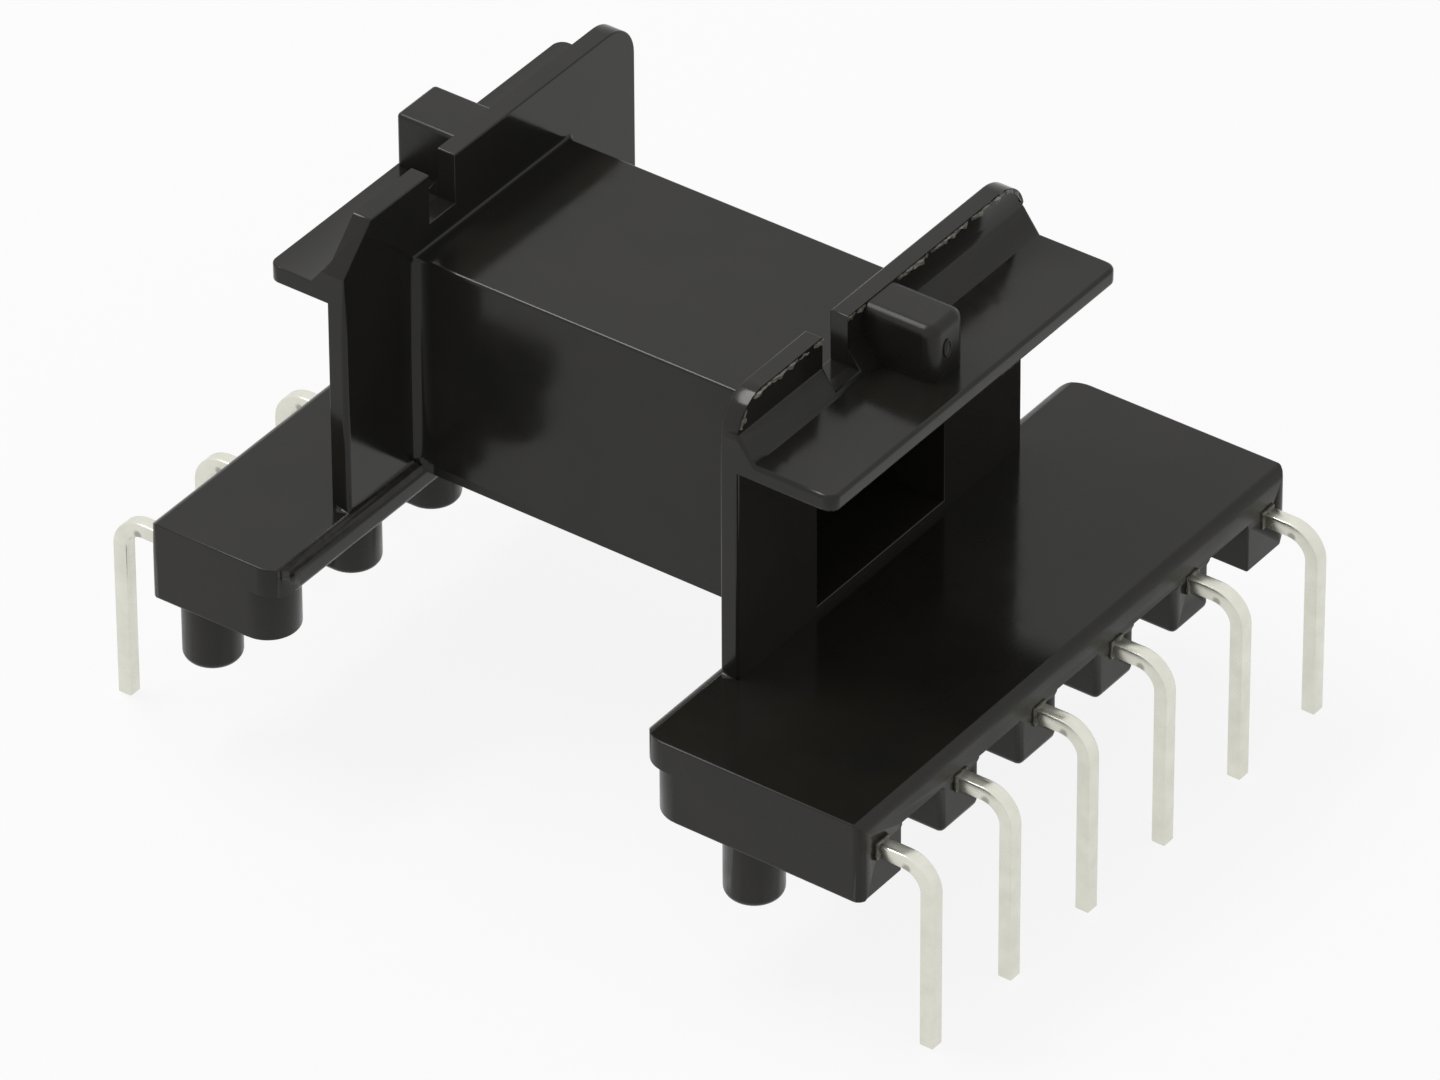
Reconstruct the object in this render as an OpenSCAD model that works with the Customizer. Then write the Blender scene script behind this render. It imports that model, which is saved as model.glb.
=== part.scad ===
// Transformer coil former for a small E-core, lying with its winding axis along X.
// One glossy black moulding carries two pin rails, and twelve square pins bent at right angles.
// The pin tips stand on z = 0, the front of the part faces -Y, and the deep rail is on +X.

/* [Core] */
// Width of the core's centre leg, measured along the rails
leg_width = 5.9; // [5:0.05:6.5]
// Height of the core's centre leg
leg_height = 5.9; // [5:0.05:6.5]
// Free space left around the centre leg
leg_clearance = 0.1; // [0.05:0.05:0.25]

/* [Winding tube] */
// Wall of the tube that the wire is wound on
tube_wall = 0.57; // [0.4:0.01:0.8]
// Free length for the winding, from flange to flange
winding_length = 12.8; // [9:0.1:18]
// Height of the tube's underside below the top of the rails
tube_drop = 0.3; // [0:0.05:0.6]
// Leg of the bevelled collar where a side of the tube meets a flange
collar = 0.2; // [0.1:0.02:0.4]
// Leg of the bevelled collar where the top or the underside of the tube meets a flange
collar_top = 0.08; // [0.04:0.02:0.4]

/* [Flanges] */
// Thickness of a flange
flange_thickness = 0.6; // [0.4:0.05:1]
// Width of a flange along the rails
flange_width = 13.64; // [12:0.02:16]
// Height of a flange above the top of the tube
flange_rise = 2.34; // [2:0.02:3]
// Radius of a flange's rounded top corners
flange_corner = 1.2; // [0.6:0.05:1.6]
// Leg of the straight bevel that marks the left flange's front corner
mark_bevel = 1.3; // [0.6:0.05:1.6]
// Width of the wire slot in the top of a flange
wire_slot = 1.18; // [0.6:0.02:1.6]
// Distance of the wire slots from the middle, towards the front
slot_offset = 2.24; // [1.9:0.02:3.4]
// Height of a wire slot's floor over its shelf
slot_floor = 0.15; // [0.05:0.05:0.35]

/* [Core shelves] */
// Thickness of a shelf over the core's yoke
shelf_thickness = 0.55; // [0.4:0.05:0.9]
// Reach of the right shelf beyond its flange
right_shelf = 3.2; // [2.6:0.05:4.5]
// Reach of the left shelf beyond its flange
left_shelf = 2.05; // [1.5:0.05:4.5]
// Reach of the ramp between a flange and its shelf
ramp_run = 0.56; // [0.3:0.02:0.8]
// Height of the ramp between a flange and its shelf
ramp_rise = 0.76; // [0.4:0.02:1.2]
// Radius of a shelf's outer corners
shelf_corner = 0.35; // [0.1:0.05:0.8]
// Width of the right lug
right_lug_width = 1.6; // [1:0.05:2.4]
// Width of the left lug
left_lug_width = 1.8; // [1:0.05:2.4]
// Height of the lug on top of a shelf
lug_height = 1.76; // [1:0.02:1.8]
// Length of the right lug, from its flange outwards
right_lug = 2.35; // [1:0.05:2.6]
// Length of the left lug, from its flange outwards
left_lug = 2.0; // [1:0.05:2]
// Radius of the right lug's upright outer corners
right_lug_corner = 0.42; // [0.1:0.02:0.48]
// Radius of the left lug's upright outer corners
left_lug_corner = 0.14; // [0.1:0.02:0.48]
// Distance of the lugs' front faces from the middle
lug_front = 0.92; // [0.6:0.02:1.2]

/* [Rails] */
// Thickness of a rail's plate
rail_thickness = 0.95; // [0.7:0.05:1.4]
// Reach of the right rail beyond its flange
right_rail = 6.65; // [5:0.05:9]
// Reach of the left rail beyond its flange
left_rail = 3.8; // [3.7:0.05:9]
// Distance from a rail's last pin to the rail's end
rail_end = 0.965; // [0.9:0.005:1.4]
// Radius of the rail's top edge that the wire bends over
rail_edge = 0.35; // [0.2:0.05:0.6]
// Radius of the rail's lower inner edge
rail_under = 0.25; // [0.1:0.05:0.3]
// Radius of a rail's two inner corners
rail_corner = 0.9; // [0.1:0.05:1.1]
// Reach of a rail's lip inside the inner face of its flange
rail_lip = 0.3; // [0.1:0.02:0.5]
// Width of a boss between the two end bosses
boss_width = 1.75; // [1.1:0.05:2]
// Distance of a boss's rounded end from the inner edge of its rail
boss_inset = 0.3; // [0.05:0.05:0.6]
// Height of the bosses under a rail's plate
boss_drop = 1.65; // [1:0.05:2.5]

/* [Pegs] */
// Spacing of the stand-off pegs along the winding axis
peg_spacing = 18.75; // [17:0.05:19.5]
// Diameter of a stand-off peg
peg_diameter = 1.75; // [1.2:0.05:1.8]
// Height of a stand-off peg under its boss
peg_height = 2; // [1:0.05:3]
// Radius of a peg's bottom edge
peg_edge = 0.25; // [0.05:0.05:0.5]

/* [Pins] */
// Spacing of the pins along a rail
pin_pitch = 3.75; // [3.4:0.05:5.08]
// Number of pins in a rail
pins_per_rail = 6; // [5:1:8]
// Width of a square pin
pin_width = 0.46; // [0.4:0.02:0.7]
// Gap between a pin and its hole
pin_fit = 0.01; // [0:0.01:0.05]
// Depth of a pin in its boss
pin_depth = 3; // [2:0.1:3.5]
// Distance of a pin's axis below the top of its rail
pin_level = 1.2; // [1.2:0.02:1.6]
// Distance of a pin's upright leg from the outer face of its rail
pin_out = 1.66; // [1.3:0.02:2.6]
// Inner radius of a pin's bend
pin_bend = 0.6; // [0.3:0.05:0.8]
// Length of a pin below the foot of the pegs
pin_below = 2.7; // [2:0.05:5]
// Leg of the bevel round a pin's tip
pin_tip = 0.1; // [0.02:0.02:0.18]

/* [Hidden] */
$fn = 64;
pin_count = 2 * pins_per_rail;

// Sizes of the hole and of the tube round it
hole_width = leg_width + 2 * leg_clearance;
hole_height = leg_height + 2 * leg_clearance;
tube_width = hole_width + 2 * tube_wall;
tube_height = hole_height + 2 * tube_wall;

// Heights, from the pin tips up
peg_bottom = pin_below;
boss_bottom = peg_bottom + peg_height;
rail_bottom = boss_bottom + boss_drop;
rail_top = rail_bottom + rail_thickness;
pin_z = rail_top - pin_level;
tube_bottom = rail_top - tube_drop;
tube_top = tube_bottom + tube_height;
tube_z = tube_bottom + tube_height / 2;
shelf_top = tube_top + shelf_thickness;
flange_top = tube_top + flange_rise;

// Distances from the middle of the winding, the same way out on either side
flange_in = winding_length / 2;
flange_out = flange_in + flange_thickness;
rail_in = flange_in - rail_lip;
right_out = flange_out + right_rail;
left_out = flange_out + left_rail;
right_pin = right_out + pin_out;
left_pin = left_out + pin_out;

// The part is centred on its own box, which the pins on either side bound
winding_x = (left_pin - right_pin) / 2;

// Layout along the rails
rail_length = (pins_per_rail - 1) * pin_pitch + 2 * rail_end;
last_pin = (pins_per_rail - 1) * pin_pitch / 2;

// How far a cutting or joining shape runs past the face that it meets
past = 0.2;

// The place along its rail of a pin that is counted from the front
function pin_y(row) = (row - 1) * pin_pitch - last_pin;

// The width of the boss that holds a pin
function boss_w(row) = (row == 1 || row == pins_per_rail) ? 2 * rail_end : boss_width;

// Extrudes a Y-Z outline along X
module along_x(from, to) {
    translate([from, 0, 0])
        rotate([90, 0, 90])
            linear_extrude(height = to - from)
                children();
}

// Extrudes an X-Z outline along Y, centred on the X-Z plane
module along_y(length) {
    rotate([90, 0, 0])
        linear_extrude(height = length, center = true)
            children();
}

// Extrudes an X-Y outline upwards
module along_z(from, to) {
    translate([0, 0, from])
        linear_extrude(height = to - from)
            children();
}

// One side of a flange's outline, with a rounded top corner, built towards +Y
module round_side() {
    translate([-past, rail_bottom])
        square([flange_width / 2 + past, flange_top - flange_corner - rail_bottom]);
    translate([-past, flange_top - 2 * flange_corner])
        square([flange_width / 2 - flange_corner + past, 2 * flange_corner]);
    translate([flange_width / 2 - flange_corner, flange_top - flange_corner])
        circle(r = flange_corner);
}

// One side of a flange's outline, with a straight bevel at its top corner, built towards +Y
module bevelled_side() {
    polygon([
        [-past, rail_bottom],
        [flange_width / 2, rail_bottom],
        [flange_width / 2, flange_top - mark_bevel],
        [flange_width / 2 - mark_bevel, flange_top],
        [-past, flange_top]
    ]);
}

// A flange's outline, from the underside of its rail up, with a bevelled front corner if it is marked
module flange_outline(marked) {
    round_side();
    mirror([1, 0])
        if (marked) bevelled_side();
        else round_side();
}

// A flange, with the ramp that stiffens its shelf against it
module flange(marked) {
    along_x(flange_in, flange_out)
        flange_outline(marked);
    intersection() {
        along_y(flange_width + 2 * past)
            polygon([
                [flange_in + past, shelf_top - past],
                [flange_out + ramp_run, shelf_top - past],
                [flange_out + ramp_run, shelf_top],
                [flange_out, shelf_top + ramp_rise],
                [flange_in + past, shelf_top + ramp_rise]
            ]);
        along_x(flange_in + past, flange_out + ramp_run + past)
            flange_outline(marked);
    }
}

// Outline of the collar, narrowing from the flange towards the middle of the tube
module collar_outline(half, leg) {
    polygon([
        [flange_in - collar - collar_top, -half],
        [flange_in - leg, -half],
        [flange_in + past, -half - leg - past],
        [flange_in + past, half + leg + past],
        [flange_in - leg, half],
        [flange_in - collar - collar_top, half]
    ]);
}

// The bevelled collar round the tube at a flange
module tube_collar() {
    intersection() {
        translate([0, 0, tube_z])
            along_y(flange_width)
                collar_outline(tube_height / 2, collar_top);
        along_z(rail_bottom, flange_top)
            collar_outline(tube_width / 2, collar);
    }
}

// Outline of a strip that runs out from the flange and has rounded outer corners
module rounded_strip(to, width, radius) {
    translate([flange_in + past, -width / 2])
        square([to - radius - flange_in - past, width]);
    translate([to - 2 * radius, radius - width / 2])
        square([2 * radius, width - 2 * radius]);
    for (side = [-1, 1])
        translate([to - radius, side * (width / 2 - radius)])
            circle(r = radius);
}

// The shelf over the core's yoke
module shelf(reach) {
    along_z(tube_top, shelf_top)
        rounded_strip(flange_out + reach, flange_width, shelf_corner);
}

// The lug on a shelf, with rounded upright corners at its outer end
module lug(reach, width, corner) {
    translate([0, width / 2 - lug_front, 0])
        along_z(shelf_top - past, shelf_top + lug_height)
            rounded_strip(flange_out + reach, width, corner);
}

// The rail's plate, with rounded edges where the wire bends round it
module plate(out) {
    intersection() {
        along_y(rail_length) {
            translate([rail_in, rail_bottom + rail_under])
                square([out - rail_in, rail_thickness - rail_edge - rail_under]);
            translate([rail_in + rail_edge, rail_bottom + rail_under])
                square([out - rail_in - rail_edge, rail_thickness - rail_under]);
            translate([rail_in + rail_under, rail_bottom])
                square([out - rail_in - rail_under, rail_thickness - rail_edge]);
            translate([rail_in + rail_edge, rail_top - rail_edge])
                circle(r = rail_edge);
            translate([rail_in + rail_under, rail_bottom + rail_under])
                circle(r = rail_under);
        }
        along_z(rail_bottom, rail_top) {
            translate([rail_in + rail_corner, -rail_length / 2])
                square([out - rail_in - rail_corner, rail_length]);
            translate([rail_in, rail_corner - rail_length / 2])
                square([out - rail_in, rail_length - 2 * rail_corner]);
            for (side = [-1, 1])
                translate([rail_in + rail_corner, side * (rail_length / 2 - rail_corner)])
                    circle(r = rail_corner);
        }
    }
}

// A boss under the plate, with a half-round end where the wire passes it
module boss(out, width) {
    middle = rail_in + boss_inset + width / 2;
    along_z(boss_bottom, rail_bottom + past) {
        translate([middle, -width / 2])
            square([out - middle, width]);
        translate([middle, 0])
            circle(r = width / 2);
    }
}

// A stand-off peg with a rounded bottom edge, which rests on the circuit board
module peg() {
    translate([0, 0, peg_bottom])
        rotate_extrude() {
            square([peg_diameter / 2 - peg_edge, peg_height + past]);
            translate([0, peg_edge])
                square([peg_diameter / 2, peg_height + past - peg_edge]);
            translate([peg_diameter / 2 - peg_edge, peg_edge])
                intersection() {
                    circle(r = peg_edge);
                    translate([-peg_edge / 2, -peg_edge])
                        square(2 * peg_edge);
                }
        }
}

// One end of the moulding, built on +X
module half(out, shelf_reach, marked) {
    flange(marked);
    tube_collar();
    shelf(shelf_reach);
    plate(out);
    for (row = [1 : pins_per_rail])
        translate([0, pin_y(row), 0])
            boss(out, boss_w(row));
    for (row = [1, pins_per_rail])
        translate([peg_spacing / 2, pin_y(row), 0])
            peg();
}

// The square holes that the pins of one rail are pressed into
module pin_holes(out) {
    hole = pin_width + 2 * pin_fit;
    for (row = [1 : pins_per_rail])
        translate([out - pin_depth, pin_y(row) - hole / 2, pin_z - hole / 2])
            cube([pin_depth + past, hole, hole]);
}

// The passage for the core's centre leg, right through the tube and both flanges
module core_passage() {
    along_x(-flange_out - past, flange_out + past)
        translate([-hole_width / 2, tube_bottom + tube_wall])
            square([hole_width, hole_height]);
}

// The wire slot in the top of one flange and in its ramp
module slot_cut() {
    along_x(flange_in - past, flange_out + ramp_run + past)
        translate([-slot_offset - wire_slot / 2, shelf_top + slot_floor])
            square([wire_slot, flange_rise]);
}

// The whole moulding
module coil_former() {
    color("#1b1a18")
        translate([winding_x, 0, 0])
            difference() {
                union() {
                    along_x(-flange_in - past, flange_in + past)
                        translate([-tube_width / 2, tube_bottom])
                            square([tube_width, tube_height]);
                    half(right_out, right_shelf, false);
                    lug(right_lug, right_lug_width, right_lug_corner);
                    mirror([1, 0, 0]) {
                        half(left_out, left_shelf, true);
                        lug(left_lug, left_lug_width, left_lug_corner);
                    }
                }
                core_passage();
                slot_cut();
                pin_holes(right_out);
                mirror([1, 0, 0]) {
                    slot_cut();
                    pin_holes(left_out);
                }
            }
}

// Outline of a pin's upright leg, bevelled at its tip
module leg_outline() {
    half = pin_width / 2;
    polygon([
        [-half, pin_tip],
        [pin_tip - half, 0],
        [half - pin_tip, 0],
        [half, pin_tip],
        [half, pin_z - pin_bend - half],
        [-half, pin_z - pin_bend - half]
    ]);
}

// A square pin on +X: a shank in the rail, a right-angle bend and an upright leg
module bent_pin(out) {
    middle = pin_bend + pin_width / 2;
    translate([out - pin_depth, -pin_width / 2, pin_z - pin_width / 2])
        cube([pin_depth + pin_out - middle, pin_width, pin_width]);
    translate([out + pin_out - middle, 0, pin_z - middle])
        rotate([90, 0, 0])
            rotate_extrude(angle = 90)
                translate([middle, 0])
                    square(pin_width, center = true);
    intersection() {
        translate([out + pin_out, 0, 0])
            along_y(pin_width)
                leg_outline();
        along_x(out, out + 2 * pin_out)
            leg_outline();
    }
}

// Pin i, counted from the front: first those of the right rail, then those of the left one
module pin(i) {
    on_right = i <= pins_per_rail;
    row = on_right ? i : i - pins_per_rail;
    color("#cfcec4")
        translate([winding_x, pin_y(row), 0])
            mirror([on_right ? 0 : 1, 0, 0])
                bent_pin(on_right ? right_out : left_out);
}

coil_former();
for (i = [1 : pin_count])
    pin(i);
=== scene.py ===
import math

import bmesh
import bpy
from mathutils import Matrix, Vector


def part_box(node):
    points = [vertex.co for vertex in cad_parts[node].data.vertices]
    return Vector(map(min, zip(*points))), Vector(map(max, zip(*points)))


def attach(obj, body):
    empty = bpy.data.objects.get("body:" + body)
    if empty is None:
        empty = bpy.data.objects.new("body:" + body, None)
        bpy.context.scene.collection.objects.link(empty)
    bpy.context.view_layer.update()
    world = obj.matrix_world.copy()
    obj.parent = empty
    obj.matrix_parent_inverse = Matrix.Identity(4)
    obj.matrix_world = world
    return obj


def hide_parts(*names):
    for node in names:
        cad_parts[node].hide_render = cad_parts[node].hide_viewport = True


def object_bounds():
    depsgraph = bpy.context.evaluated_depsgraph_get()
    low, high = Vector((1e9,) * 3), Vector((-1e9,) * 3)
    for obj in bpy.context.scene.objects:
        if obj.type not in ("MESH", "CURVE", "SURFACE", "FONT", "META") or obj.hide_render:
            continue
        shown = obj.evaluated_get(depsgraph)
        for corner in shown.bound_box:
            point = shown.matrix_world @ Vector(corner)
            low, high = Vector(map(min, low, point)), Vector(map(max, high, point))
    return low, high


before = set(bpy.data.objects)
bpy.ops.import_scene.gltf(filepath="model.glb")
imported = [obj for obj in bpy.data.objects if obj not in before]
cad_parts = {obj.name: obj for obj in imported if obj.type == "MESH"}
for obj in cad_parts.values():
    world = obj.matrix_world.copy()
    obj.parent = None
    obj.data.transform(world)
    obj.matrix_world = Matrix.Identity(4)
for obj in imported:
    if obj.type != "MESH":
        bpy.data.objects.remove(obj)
CAD_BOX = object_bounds()

bl_info = {
    "name": "Transformer coil former",
    "version": (1, 0, 0),
    "blender": (4, 5, 0),
    "location": "View3D > Sidebar > Coil former",
    "description": "Dresses the coil former with rounded edges, moulding flash, bent pins and finishes",
    "category": "Object",
}

MM = 0.001
BODY = "root"
MOULDING_NODE = "coil_former"
PIN_PREFIX = "pin_"
PIN_NODES = sorted((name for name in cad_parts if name.startswith(PIN_PREFIX)),
                   key=lambda name: int(name.removeprefix(PIN_PREFIX)))
PIN_LOW, PIN_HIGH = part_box(PIN_NODES[0])
PIN_WIDTH = PIN_HIGH.y - PIN_LOW.y
PIN_Y = (PIN_LOW.y + PIN_HIGH.y) / 2
PIN_Z = PIN_HIGH.z - PIN_WIDTH / 2
PIN_ROWS = sorted({round((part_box(name)[0].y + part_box(name)[1].y) / 2, 6) for name in PIN_NODES})

# Places of the moulding's faces, as the solid has them, the right end before the left one
FLANGE_INNER = (4.975 * MM, -7.825 * MM)
FLANGE_OUTER = (5.575 * MM, -8.425 * MM)
FLANGE_SIDE = 6.82 * MM
FLANGE_TOP = CAD_BOX[1].z
FLANGE_CORNER = 1.2 * MM
RAIL_OUTER = (12.225 * MM, -12.225 * MM)
RAIL_INNER = (4.675 * MM, -7.525 * MM)
RAIL_SIDE = CAD_BOX[1].y
RAIL_TOP = 7.3 * MM
RAIL_BOTTOM = 6.35 * MM
RAIL_CORNER = 0.9 * MM
LIP_RADIUS = 0.35 * MM
END_BOSS_SIDE = 8.41 * MM
TUBE_BOTTOM = 7.0 * MM
WINDING_MIDDLE = sum(FLANGE_INNER) / 2
SHELF_TOP = 14.79 * MM
SHELF_BOTTOM = 14.24 * MM
LUG_TOP = 16.55 * MM
LUG_OUTER = 7.925 * MM
HOLE_SIDE = 3.1 * MM
SLOT_PLACE = -2.24 * MM
SLOT_HALF = 0.6 * MM

# Reach from the winding's middle past which the shelves begin
SHELF_REACH = 7.02 * MM

# Reach round a pin's axis in which the edges of its hole stay sharp
PIN_RIM = 0.3 * MM

# Where the mesh is cut so that a rounded edge ends cleanly: two heights and a reach along the tube
LIP_CUT = 7.45 * MM
BOSS_CUT = 6.2 * MM
TUBE_REACH = 5.8 * MM

# Top of the rounder part of the left flange's front upright edge, and the cuts that part that edge
STRIP_TOP = 13.8 * MM
STRIP_CUTS = 3

# Limits of the plastic's satin places, and of the paler highlight painted on the rails' inner lips over
# their dark reflection
SHELF_GLOSS = 14.0 * MM
LUG_FOOT = SHELF_TOP + 0.05 * MM
RAIL_GLOSS = 12.0 * MM
RAIL_DEPTH = FLANGE_TOP - RAIL_TOP + 0.001 * MM
LIP_REACH = (6.08 * MM, 6.42 * MM)
LIP_HIGHLIGHT = (7.08 * MM, 7.31 * MM)
COLLAR_SIDE = 3.75 * MM

# X, Z and reach of the darker spot painted on a pin at the inner start of its bend: painted shade where the
# bent wire's bulge would reflect darker surroundings
BEND_SHADE_SPOT = (13.2 * MM, 5.94 * MM, 0.17 * MM)

# Y and Z of the broken gate on the right lug
GATE_PLACE = (-0.26 * MM, 15.7 * MM)

# Grain of the plastic's roughness, its index of refraction, and the part of the noise that mottles use
ROUGH_GRAIN = {"Scale": 900.0, "Detail": 5.0}
PLASTIC_IOR = 1.33
NOISE_SPAN = (0.3, 0.7)

# Scale of the pins' drawing lines along each axis, which draws them out along the wire
WIRE_STRETCH = (0.12, 1.0, 0.12)

# Cosine past which a face looks along an axis, and the angle past which an edge is a corner
FACING = 0.9
CORNER_ANGLE = math.radians(60.0)

# Blender's own name for the weights that tell a bevel how wide each edge becomes
BEVEL_WEIGHT = "bevel_weight_edge"


class FormerSizes(bpy.types.PropertyGroup):
    """Sizes of what the scene adds to the solids"""

    edge_radius: bpy.props.FloatProperty(
        name="Edge radius", description="Radius of the moulding's edges",
        default=0.09 * MM, min=0.02 * MM, max=0.15 * MM, unit="LENGTH", subtype="DISTANCE", precision=5)
    fine_radius: bpy.props.FloatProperty(
        name="Fine radius",
        description="Radius of the edges of the passage, the wire slots and the left flange",
        default=0.045 * MM, min=0.01 * MM, max=0.048 * MM, unit="LENGTH", subtype="DISTANCE", precision=5)
    rail_radius: bpy.props.FloatProperty(
        name="Rail radius", description="Radius of the rails' outer top edges",
        default=0.3 * MM, min=0.02 * MM, max=0.4 * MM, unit="LENGTH", subtype="DISTANCE", precision=5)
    end_radius: bpy.props.FloatProperty(
        name="End radius", description="Radius of the edges round the rails' ends",
        default=0.07 * MM, min=0.02 * MM, max=0.08 * MM, unit="LENGTH", subtype="DISTANCE", precision=5)
    boss_radius: bpy.props.FloatProperty(
        name="Boss radius", description="Radius of the edges of the bosses between the end ones",
        default=0.2 * MM, min=0.02 * MM, max=0.24 * MM, unit="LENGTH", subtype="DISTANCE", precision=5)
    shelf_radius: bpy.props.FloatProperty(
        name="Shelf radius", description="Radius of the shelves' outer edges",
        default=0.12 * MM, min=0.02 * MM, max=0.24 * MM, unit="LENGTH", subtype="DISTANCE", precision=5)
    lug_radius: bpy.props.FloatProperty(
        name="Lug radius", description="Radius of the right lug's top edges",
        default=0.3 * MM, min=0.02 * MM, max=0.36 * MM, unit="LENGTH", subtype="DISTANCE", precision=5)
    upright_radius: bpy.props.FloatProperty(
        name="Upright radius",
        description="Radius of the left flange's front upright edge on the winding side",
        default=0.16 * MM, min=0.05 * MM, max=0.2 * MM, unit="LENGTH", subtype="DISTANCE", precision=5)
    left_lug_radius: bpy.props.FloatProperty(
        name="Left lug radius", description="Radius of the left lug's top edges",
        default=0.12 * MM, min=0.02 * MM, max=0.13 * MM, unit="LENGTH", subtype="DISTANCE", precision=5)
    join_distance: bpy.props.FloatProperty(
        name="Join distance", description="Corners of the solid's faces nearer than this are joined",
        default=0.001 * MM, min=0.0, max=0.005 * MM, unit="LENGTH", subtype="DISTANCE", precision=7)
    pin_edge: bpy.props.FloatProperty(
        name="Pin edge", description="Radius of a pin's long edges",
        default=0.05 * MM, min=0.01 * MM, max=0.1 * MM, unit="LENGTH", subtype="DISTANCE", precision=5)
    pin_bend: bpy.props.FloatProperty(
        name="Pin bend", description="Inner radius of a pin's bend",
        default=0.6 * MM, min=0.3 * MM, max=0.8 * MM, unit="LENGTH", subtype="DISTANCE", precision=5)
    pin_tip: bpy.props.FloatProperty(
        name="Pin tip", description="Leg of the bevel round a pin's tip",
        default=0.1 * MM, min=0.02 * MM, max=0.18 * MM, unit="LENGTH", subtype="DISTANCE", precision=5)
    flash_width: bpy.props.FloatProperty(
        name="Flash width", description="Width of the ragged flash on a flange's edge",
        default=0.09 * MM, min=0.03 * MM, max=0.2 * MM, unit="LENGTH", subtype="DISTANCE", precision=5)
    rim_width: bpy.props.FloatProperty(
        name="Rim width", description="Width of the flash round a pin's exit",
        default=0.055 * MM, min=0.03 * MM, max=0.2 * MM, unit="LENGTH", subtype="DISTANCE", precision=5)


class FormerColours(bpy.types.PropertyGroup):
    """Colours of the finishes"""

    plastic: bpy.props.FloatVectorProperty(
        name="Plastic", description="Colour of the moulding", subtype="COLOR", size=4,
        default=(0.0132, 0.0130, 0.0113, 1.0), min=0.0, max=1.0)
    plastic_tint: bpy.props.FloatVectorProperty(
        name="Plastic tint", description="Browner shade that clouds the moulding",
        subtype="COLOR", size=4,
        default=(0.0178, 0.0165, 0.0133, 1.0), min=0.0, max=1.0)
    # Painted highlight: a paler colour on the rounding of the rails' inner lips that covers the dark
    # reflection there
    painted_highlight: bpy.props.FloatVectorProperty(
        name="Painted lip highlight", description="Paler shade of the rails' rubbed lips",
        subtype="COLOR", size=4,
        default=(0.048, 0.046, 0.039, 1.0), min=0.0, max=1.0)
    dust: bpy.props.FloatVectorProperty(
        name="Dust", description="Colour of the specks of dust", subtype="COLOR", size=4,
        default=(0.62, 0.61, 0.58, 1.0), min=0.0, max=1.0)
    plating: bpy.props.FloatVectorProperty(
        name="Plating", description="Bright shade of the pins' tin plating",
        subtype="COLOR", size=4,
        default=(0.75, 0.745, 0.665, 1.0), min=0.0, max=1.0)
    plating_dull: bpy.props.FloatVectorProperty(
        name="Dull plating", description="Dull shade of the pins' tin plating",
        subtype="COLOR", size=4,
        default=(0.67, 0.67, 0.585, 1.0), min=0.0, max=1.0)
    # Painted shade: a darker colour at the inner start of each pin's bend, standing in for the darker
    # reflection of the bulge that bending raises
    painted_bend_shade: bpy.props.FloatVectorProperty(
        name="Painted bend shade", description="Colour of the bending tool's mark on the pins",
        subtype="COLOR", size=4,
        default=(0.36, 0.36, 0.30, 1.0), min=0.0, max=1.0)
    flash: bpy.props.FloatVectorProperty(
        name="Flash", description="Pale shade of torn flash", subtype="COLOR", size=4,
        default=(0.20, 0.20, 0.165, 1.0), min=0.0, max=1.0)
    flash_dark: bpy.props.FloatVectorProperty(
        name="Dark flash", description="Brown shade of torn flash", subtype="COLOR", size=4,
        default=(0.040, 0.033, 0.024, 1.0), min=0.0, max=1.0)
    floor: bpy.props.FloatVectorProperty(
        name="Floor", description="Colour of the floor", subtype="COLOR", size=4,
        default=(0.88, 0.88, 0.88, 1.0), min=0.0, max=1.0)


class FormerStage(bpy.types.PropertyGroup):
    """Light, floor and camera"""

    sky: bpy.props.FloatProperty(
        name="Sky", description="Strength of the even light from all sides",
        default=0.55, min=0.0, max=2.0)
    strip: bpy.props.FloatProperty(
        name="Strip lamp", description="Power of the strip lamp overhead",
        default=0.24, min=0.0, max=5.0, unit="POWER", precision=4)
    white_share: bpy.props.FloatProperty(
        name="White share", description="Share of the floor's plain white in what the camera sees",
        default=0.87, min=0.0, max=1.0, subtype="FACTOR")
    azimuth: bpy.props.FloatProperty(
        name="Azimuth", description="Camera's turn round the part, from the front towards +X",
        default=math.radians(35.999), subtype="ANGLE", unit="ROTATION", precision=5)
    elevation: bpy.props.FloatProperty(
        name="Elevation", description="Camera's height over the horizon",
        default=math.radians(36.2005), subtype="ANGLE", unit="ROTATION", precision=5)
    roll: bpy.props.FloatProperty(
        name="Roll", description="Turn of the picture",
        default=math.radians(0.2746), subtype="ANGLE", unit="ROTATION", precision=5)
    lens: bpy.props.FloatProperty(
        name="Lens", description="Focal length in millimetres on a 36 mm wide sensor",
        default=338.625, min=10.0, max=1000.0, unit="CAMERA")
    distance: bpy.props.FloatProperty(
        name="Distance", description="Distance from the camera to the plane of its aim",
        default=380.16 * MM, min=0.01, unit="LENGTH", subtype="DISTANCE", precision=5)
    aim: bpy.props.FloatVectorProperty(
        name="Aim", description="Point of the part that the picture's offset is measured from",
        size=3, default=(WINDING_MIDDLE, 0.0, RAIL_TOP), unit="LENGTH", subtype="XYZ", precision=5)
    offset: bpy.props.FloatVectorProperty(
        name="Offset", description="Place of that point in the picture, right and up from its middle",
        size=2, default=(-1.176 * MM, 1.815 * MM), unit="LENGTH", precision=5)


def deselect():
    """Leaves edit mode and drops the selection."""
    if bpy.context.object is not None and bpy.context.object.mode != "OBJECT":
        bpy.ops.object.mode_set(mode="OBJECT")
    bpy.ops.object.select_all(action="DESELECT")


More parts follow.
